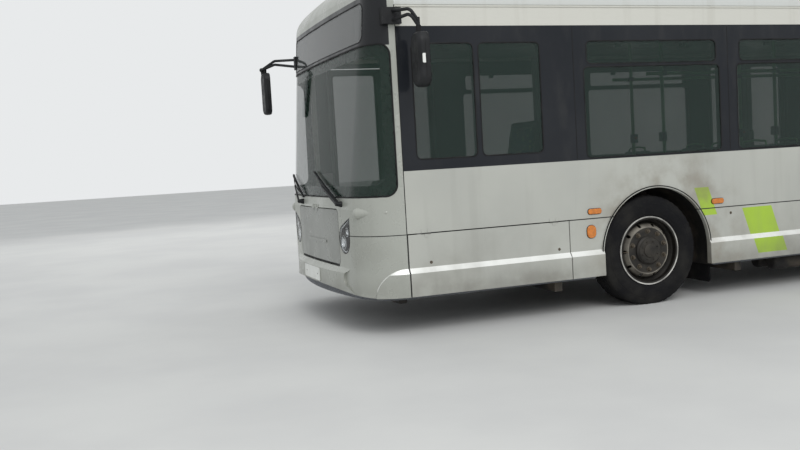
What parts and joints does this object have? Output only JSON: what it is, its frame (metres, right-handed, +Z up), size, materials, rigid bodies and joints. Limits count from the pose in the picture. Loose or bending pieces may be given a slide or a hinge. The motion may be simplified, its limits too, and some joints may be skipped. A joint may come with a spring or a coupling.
{
  "type": "city bus",
  "caption": "Low-floor city bus with curved leaning windscreen, dark glazing band, hinged doors, lids, steered front wheels and twin rear wheels.",
  "frame": {"origin": "on the ground, midway between the tail and the mirror tips, on the centre plane", "axes": "+X forward, +Y to the left, +Z up"},
  "size_m": [12.06, 3.13, 3.08],
  "materials": {
    "silver_paint": "silver-grey gloss paint, dirty",
    "roof_paint": "off-white paint",
    "black_band": "black bonded glazing band",
    "tinted_glass": "tinted safety glass",
    "black_plastic": "black moulding",
    "clear_lens": "clear lamp cover",
    "red_lens": "red lamp cover",
    "amber_lens": "amber lamp cover",
    "black_metal": "dark door frames",
    "underbody_steel": "dark underbody coating",
    "floor_cover": "speckled floor cover",
    "seat_fabric": "woven seat covers on mouldings",
    "rail_paint": "green handrail coating",
    "tyre_rubber": "black tyre",
    "wheel_steel": "dark worn steel wheel"
  },
  "bodies": {
    "body": {"side_panel_left": "silver_paint", "side_panel_right": "silver_paint", "window_frame_left": "black_band", "window_frame_right": "black_band", "window_glass_left": "tinted_glass", "window_glass_right": "tinted_glass", "roof": "roof_paint", "roof_units": "roof_paint", "front_mask": "silver_paint", "front_bumper": "silver_paint", "windscreen": "tinted_glass", "sign_glass": "tinted_glass", "sign_display": "black_plastic", "headlamps": "clear_lens", "wipers": "black_plastic", "mirror_left": "black_plastic", "mirror_right": "black_plastic", "rear_wall": "silver_paint", "rear_bumper": "silver_paint", "rear_glass": "tinted_glass", "tail_lamps": "red_lens", "side_lamps": "amber_lens", "wheel_housings": "underbody_steel", "floor": "floor_cover", "chassis": "underbody_steel", "front_axle": "underbody_steel", "rear_axle": "underbody_steel", "engine": "underbody_steel", "under_tanks": "underbody_steel", "seats": "seat_fabric", "driver_cabin": "black_plastic", "driver_seat": "seat_fabric", "dashboard": "black_plastic", "steering_wheel": "black_plastic", "handrails": "rail_paint"},
    "service_flap_body": {"service_flap": "silver_paint"},
    "front_hatch_body": {"front_hatch": "silver_paint"},
    "engine_lid_body": {"engine_lid": "silver_paint"},
    "steering_left": {"knuckle_left": "underbody_steel"},
    "front_wheel_left": {"front_tyre_left": "tyre_rubber", "front_rim_left": "wheel_steel"},
    "rear_wheel_left": {"rear_tyres_left": "tyre_rubber", "rear_rims_left": "wheel_steel"},
    "steering_right": {"knuckle_right": "underbody_steel"},
    "front_wheel_right": {"front_tyre_right": "tyre_rubber", "front_rim_right": "wheel_steel"},
    "rear_wheel_right": {"rear_tyres_right": "tyre_rubber", "rear_rims_right": "wheel_steel"},
    "front_door_fore_leaf": {"front_door_fore": "black_metal", "front_door_fore_glass": "tinted_glass"},
    "front_door_aft_leaf": {"front_door_aft": "black_metal", "front_door_aft_glass": "tinted_glass"},
    "mid_door_fore_leaf": {"mid_door_fore": "black_metal", "mid_door_fore_glass": "tinted_glass"},
    "mid_door_aft_leaf": {"mid_door_aft": "black_metal", "mid_door_aft_glass": "tinted_glass"}
  },
  "joints": [
    {"name": "service_flap_hinge", "type": "hinge", "parent": "body", "child": "service_flap_body", "pos_m": [4.795, 1.253, 0.792], "axis": [1, 0, 0], "range_deg": [0, 85]},
    {"name": "front_hatch_hinge", "type": "hinge", "parent": "body", "child": "front_hatch_body", "pos_m": [5.917, 0, 1.001], "axis": [0, -1, 0], "range_deg": [0, 80]},
    {"name": "engine_lid_hinge", "type": "hinge", "parent": "body", "child": "engine_lid_body", "pos_m": [-6.008, 0, 1.424], "axis": [0, 1, 0], "range_deg": [0, 75]},
    {"name": "steer_left", "type": "hinge", "parent": "body", "child": "steering_left", "pos_m": [3.27, 0.985, 0.468], "axis": [0, 0, 1], "range_deg": [-40, 40]},
    {"name": "front_wheel_left_spin", "type": "hinge", "parent": "steering_left", "child": "front_wheel_left", "pos_m": [3.27, 1.1, 0.468], "axis": [0, 1, 0], "continuous": true},
    {"name": "rear_wheel_left_spin", "type": "hinge", "parent": "body", "child": "rear_wheel_left", "pos_m": [-2.85, 0.95, 0.468], "axis": [0, 1, 0], "continuous": true},
    {"name": "steer_right", "type": "hinge", "parent": "body", "child": "steering_right", "pos_m": [3.27, -0.985, 0.468], "axis": [0, 0, 1], "range_deg": [-40, 40]},
    {"name": "front_wheel_right_spin", "type": "hinge", "parent": "steering_right", "child": "front_wheel_right", "pos_m": [3.27, -1.1, 0.468], "axis": [0, 1, 0], "continuous": true},
    {"name": "rear_wheel_right_spin", "type": "hinge", "parent": "body", "child": "rear_wheel_right", "pos_m": [-2.85, -0.95, 0.468], "axis": [0, 1, 0], "continuous": true},
    {"name": "front_door_fore_shaft", "type": "hinge", "parent": "body", "child": "front_door_fore_leaf", "pos_m": [5.375, -1.178, 1.345], "axis": [0, 0, -1], "range_deg": [0, 90]},
    {"name": "front_door_aft_shaft", "type": "hinge", "parent": "body", "child": "front_door_aft_leaf", "pos_m": [4.225, -1.178, 1.345], "axis": [0, 0, 1], "range_deg": [0, 90]},
    {"name": "mid_door_fore_shaft", "type": "hinge", "parent": "body", "child": "mid_door_fore_leaf", "pos_m": [0.62, -1.178, 1.345], "axis": [0, 0, -1], "range_deg": [0, 90]},
    {"name": "mid_door_aft_shaft", "type": "hinge", "parent": "body", "child": "mid_door_aft_leaf", "pos_m": [-0.53, -1.178, 1.345], "axis": [0, 0, 1], "range_deg": [0, 90]}
  ],
  "couplings": [
    {"joint": "steer_right", "follows": "steer_left", "ratio": 1}
  ]
}
